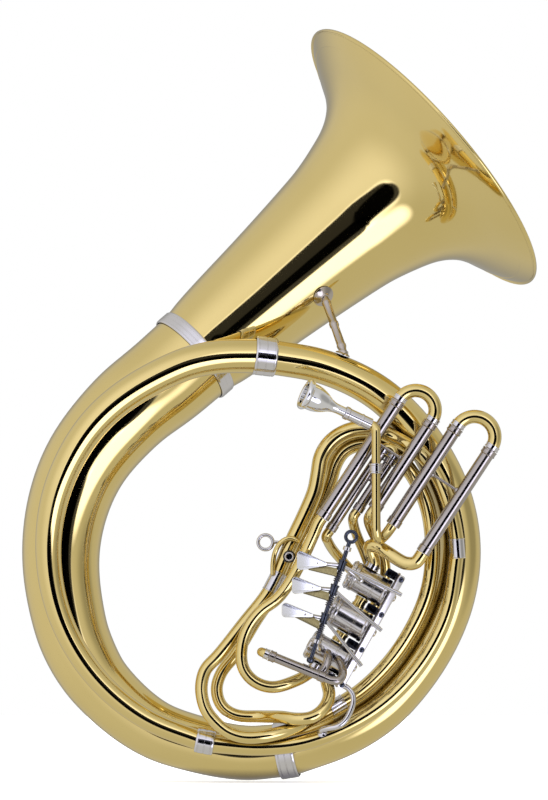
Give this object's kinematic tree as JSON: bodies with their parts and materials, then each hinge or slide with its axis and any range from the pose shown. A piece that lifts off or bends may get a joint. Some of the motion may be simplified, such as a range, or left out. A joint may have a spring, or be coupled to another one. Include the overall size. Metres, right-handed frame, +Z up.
{
  "type": "helicon",
  "caption": "Large circular low brass horn worn over the shoulder, with a flared bell, rotary valves worked by touch levers, pull slides and a swivelling mouthpipe.",
  "frame": {"origin": "on the ring's inner top, in front of the mouthpiece, where the ring rests on the player's shoulder", "axes": "+Z up, +X towards the side with the valves and bell mouth, -Y towards the viewer of the picture"},
  "size_m": [0.6204, 0.4475, 0.9068],
  "materials": {
    "lacquered_brass": "polished, clear lacquered",
    "nickel_silver": "polished",
    "silver_plate": "polished",
    "spring_steel": "dark"
  },
  "bodies": {
    "root": {"axle_bracket": "nickel_silver", "bell_brace": "nickel_silver", "bell_branch": "lacquered_brass", "bell_ferrule": "nickel_silver", "bell_flare": "lacquered_brass", "bell_stem": "lacquered_brass", "big_bow": "lacquered_brass", "bottom_brace": "nickel_silver", "bottom_ferrule": "nickel_silver", "connector_1": "lacquered_brass", "connector_2": "lacquered_brass", "first_crook_left": "lacquered_brass", "first_crook_right": "lacquered_brass", "first_slide_sleeves": "nickel_silver", "inner_branch": "lacquered_brass", "inner_turn": "lacquered_brass", "leadpipe": "lacquered_brass", "lever_axle": "nickel_silver", "lower_ferrule": "nickel_silver", "main_crook": "lacquered_brass", "main_slide_sleeves": "nickel_silver", "mouthpipe_clamp": "nickel_silver", "outer_turn": "lacquered_brass", "second_branch": "lacquered_brass", "second_slide_sleeves": "nickel_silver", "spring_1": "spring_steel", "spring_2": "spring_steel", "spring_3": "spring_steel", "third_crook": "lacquered_brass", "third_slide_sleeves": "nickel_silver", "thumb_ring": "nickel_silver", "top_ferrule": "nickel_silver", "valve_cap_1": "nickel_silver", "valve_cap_2": "nickel_silver", "valve_cap_3": "nickel_silver", "valve_casing_1": "nickel_silver", "valve_casing_2": "nickel_silver", "valve_casing_3": "nickel_silver", "valve_loop": "lacquered_brass", "valve_plate": "nickel_silver"},
    "lever_1": {"lever_1": "nickel_silver"},
    "link_1": {"link_1": "nickel_silver"},
    "rotor_1": {"rotor_1": "lacquered_brass", "stop_arm_1": "nickel_silver"},
    "lever_2": {"lever_2": "nickel_silver"},
    "link_2": {"link_2": "nickel_silver"},
    "rotor_2": {"rotor_2": "lacquered_brass", "stop_arm_2": "nickel_silver"},
    "lever_3": {"lever_3": "nickel_silver"},
    "link_3": {"link_3": "nickel_silver"},
    "rotor_3": {"rotor_3": "lacquered_brass", "stop_arm_3": "nickel_silver"},
    "main_slide": {"main_slide": "lacquered_brass"},
    "first_slide": {"first_slide": "lacquered_brass"},
    "second_slide": {"second_slide": "lacquered_brass"},
    "third_slide": {"third_slide": "lacquered_brass"},
    "mouthpipe": {"mouthpipe": "lacquered_brass", "mouthpiece_receiver": "nickel_silver"},
    "mouthpiece": {"mouthpiece": "silver_plate"}
  },
  "joints": [
    {"name": "lever_1_press", "type": "hinge", "parent": "root", "child": "lever_1", "pos_m": [0.04948, -0.114, -0.225], "axis": [-0.3137, 0, -0.9495], "range_deg": [0, 12.7], "stiffness_Nm_per_rad": 0.25, "springref_deg": -8.59},
    {"name": "link_1_swing", "type": "hinge", "parent": "lever_1", "child": "link_1", "pos_m": [0.11832, -0.10551, -0.25894], "axis": [-0.3137, 0, -0.9495], "range_deg": [-12.7, 0]},
    {"name": "rotor_1_turn", "type": "hinge", "parent": "root", "child": "rotor_1", "pos_m": [0.0834, -0.062, -0.249], "axis": [0.8712, 0, -0.4909], "range_deg": [0, 90]},
    {"name": "lever_2_press", "type": "hinge", "parent": "root", "child": "lever_2", "pos_m": [0.0399, -0.114, -0.254], "axis": [-0.3137, 0, -0.9495], "range_deg": [0, 14.5], "stiffness_Nm_per_rad": 0.25, "springref_deg": -8.59},
    {"name": "link_2_swing", "type": "hinge", "parent": "lever_2", "child": "link_2", "pos_m": [0.09476, -0.10551, -0.30075], "axis": [-0.3137, 0, -0.9495], "range_deg": [-14.5, 0]},
    {"name": "rotor_2_turn", "type": "hinge", "parent": "root", "child": "rotor_2", "pos_m": [0.05984, -0.062, -0.29082], "axis": [0.8712, 0, -0.4909], "range_deg": [0, 90]},
    {"name": "lever_3_press", "type": "hinge", "parent": "root", "child": "lever_3", "pos_m": [0.02866, -0.114, -0.288], "axis": [-0.3137, 0, -0.9495], "range_deg": [0, 16.8], "stiffness_Nm_per_rad": 0.25, "springref_deg": -8.59},
    {"name": "link_3_swing", "type": "hinge", "parent": "lever_3", "child": "link_3", "pos_m": [0.07119, -0.10551, -0.34257], "axis": [-0.3137, 0, -0.9495], "range_deg": [-16.8, 0]},
    {"name": "rotor_3_turn", "type": "hinge", "parent": "root", "child": "rotor_3", "pos_m": [0.03627, -0.062, -0.33264], "axis": [0.8712, 0, -0.4909], "range_deg": [0, 90]},
    {"name": "main_slide_pull", "type": "slide", "parent": "root", "child": "main_slide", "axis": [0.5476, 0, 0.8368], "range_m": [0, 0.045]},
    {"name": "first_slide_pull", "type": "slide", "parent": "root", "child": "first_slide", "axis": [0.5476, 0, 0.8368], "range_m": [0, 0.035]},
    {"name": "second_slide_pull", "type": "slide", "parent": "root", "child": "second_slide", "axis": [-0.9259, 0, 0.3778], "range_m": [0, 0.035]},
    {"name": "third_slide_pull", "type": "slide", "parent": "root", "child": "third_slide", "axis": [0.5476, 0, 0.8368], "range_m": [0, 0.045]},
    {"name": "mouthpipe_swivel", "type": "hinge", "parent": "root", "child": "mouthpipe", "pos_m": [0.0906, -0.108, -0.1092], "axis": [0, 0, 1], "range_deg": [-5, 35]},
    {"name": "mouthpiece_pull", "type": "slide", "parent": "mouthpipe", "child": "mouthpiece", "axis": [-0.8856, -0.2101, 0.4143], "range_m": [0, 0.025]}
  ],
  "couplings": [
    {"joint": "link_1_swing", "follows": "lever_1_press", "ratio": -1},
    {"joint": "rotor_1_turn", "follows": "lever_1_press", "ratio": 7.0866},
    {"joint": "link_2_swing", "follows": "lever_2_press", "ratio": -1},
    {"joint": "rotor_2_turn", "follows": "lever_2_press", "ratio": 6.2068},
    {"joint": "link_3_swing", "follows": "lever_3_press", "ratio": -1},
    {"joint": "rotor_3_turn", "follows": "lever_3_press", "ratio": 5.3571}
  ]
}
